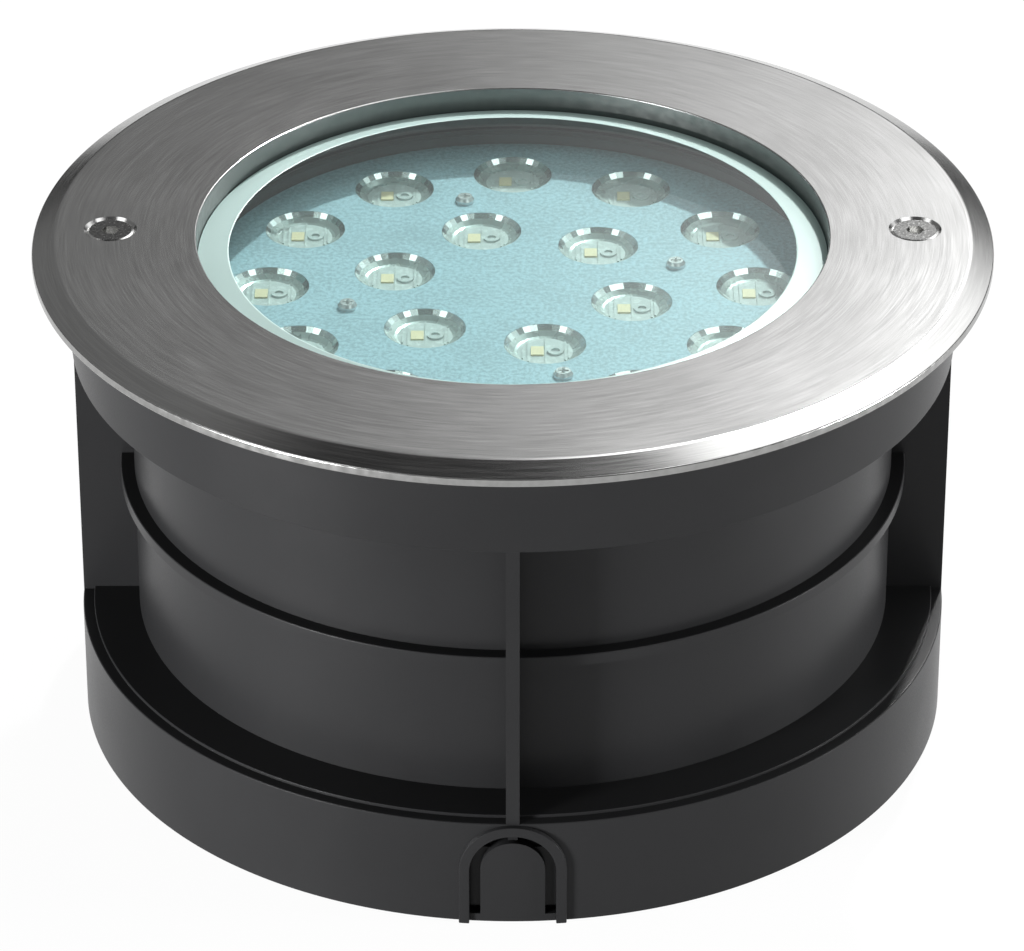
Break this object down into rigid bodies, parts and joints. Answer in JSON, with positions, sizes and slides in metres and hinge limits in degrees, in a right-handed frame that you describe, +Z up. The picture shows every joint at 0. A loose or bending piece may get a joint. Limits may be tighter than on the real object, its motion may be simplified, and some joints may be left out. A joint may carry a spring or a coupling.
{
  "type": "in ground well light",
  "caption": "Round recessed ground light: brushed steel bezel, bevelled glass over lenses in a turquoise plate, black plastic mounting sleeve with arched conduit knock-outs.",
  "frame": {"origin": "bottom centre of the mounting sleeve, on the surface it stands on", "axes": "+Z up along the lamp's axis, out of the glass; -Y towards the front knock-out; +X towards the right lock screw"},
  "size_m": [0.24, 0.24, 0.133],
  "materials": {
    "black_plastic": "matte moulded",
    "brass": "plain turned",
    "brushed_stainless": "circular brushed",
    "stainless_fixing": "plain",
    "tempered_glass": "clear with a ground border",
    "clear_lens": "clear, faceted",
    "black_rubber": "matte",
    "cast_aluminium": "cast, dark",
    "enamelled_plate": "matte enamel",
    "white_plastic": "matte",
    "emitter": "phosphor",
    "board_white": "solder mask",
    "grey_pad": "soft",
    "lead_sleeve": "insulated",
    "board_green": "solder mask",
    "winding_tape": "tape",
    "capacitor_sleeve": "shrink sleeve",
    "copper_winding": "enamelled wire",
    "terminal_green": "moulded",
    "gland_plastic": "moulded",
    "washer_plastic": "matte"
  },
  "bodies": {
    "sleeve": {"mounting_sleeve": "black_plastic", "thread_inserts": "brass"},
    "lamp": {"bezel_ring": "brushed_stainless", "glass_disc": "tempered_glass", "glass_seal": "black_rubber", "bezel_studs": "stainless_fixing", "bezel_washers": "stainless_fixing", "bezel_nuts": "stainless_fixing", "lamp_body": "cast_aluminium", "lens_plate": "enamelled_plate", "plate_screws": "stainless_fixing", "plate_standoffs": "brass", "lens_outer_01": "clear_lens", "lens_outer_02": "clear_lens", "lens_outer_03": "clear_lens", "lens_outer_04": "clear_lens", "lens_outer_05": "clear_lens", "lens_outer_06": "clear_lens", "lens_outer_07": "clear_lens", "lens_outer_08": "clear_lens", "lens_outer_09": "clear_lens", "lens_outer_10": "clear_lens", "lens_outer_11": "clear_lens", "lens_outer_12": "clear_lens", "lens_inner_01": "clear_lens", "lens_inner_02": "clear_lens", "lens_inner_03": "clear_lens", "lens_inner_04": "clear_lens", "lens_inner_05": "clear_lens", "lens_inner_06": "clear_lens", "lens_holders": "white_plastic", "led_emitters": "emitter", "led_board": "board_white", "thermal_pad": "grey_pad", "board_screws": "stainless_fixing", "board_connector": "white_plastic", "led_leads": "lead_sleeve", "lead_grommet": "black_rubber", "driver_board": "board_green", "driver_standoffs": "brass", "driver_screws": "stainless_fixing", "driver_transformer": "winding_tape", "driver_capacitors": "capacitor_sleeve", "driver_choke": "copper_winding", "terminal_block": "terminal_green", "rear_cover": "cast_aluminium", "rear_seal": "black_rubber", "rear_cover_screws": "stainless_fixing", "gland_body": "gland_plastic", "gland_washer": "black_rubber", "gland_locknut": "gland_plastic", "gland_seal": "black_rubber", "gland_dome_nut": "gland_plastic"},
    "right_washer": {"screw_washer_right": "washer_plastic"},
    "right_screw": {"lock_screw_right": "stainless_fixing"},
    "left_washer": {"screw_washer_left": "washer_plastic"},
    "left_screw": {"lock_screw_left": "stainless_fixing"}
  },
  "joints": [
    {"name": "lamp_lift", "type": "slide", "parent": "sleeve", "child": "lamp", "axis": [0, 0, 1], "range_m": [0, 0.12]},
    {"name": "right_screw_rise", "type": "slide", "parent": "lamp", "child": "right_washer", "axis": [0, 0, 1], "range_m": [0, 0.016]},
    {"name": "right_screw_turn", "type": "hinge", "parent": "right_washer", "child": "right_screw", "pos_m": [0.1005, 0, 0.1126], "axis": [0, 0, 1], "range_deg": [0, 5764]},
    {"name": "left_screw_rise", "type": "slide", "parent": "lamp", "child": "left_washer", "axis": [0, 0, 1], "range_m": [0, 0.016]},
    {"name": "left_screw_turn", "type": "hinge", "parent": "left_washer", "child": "left_screw", "pos_m": [-0.1005, 0, 0.1126], "axis": [0, 0, 1], "range_deg": [0, 5764]}
  ],
  "couplings": [
    {"joint": "right_screw_turn", "follows": "right_screw_rise", "rad_per_m": 6283.2},
    {"joint": "left_screw_turn", "follows": "left_screw_rise", "rad_per_m": 6283.2}
  ]
}
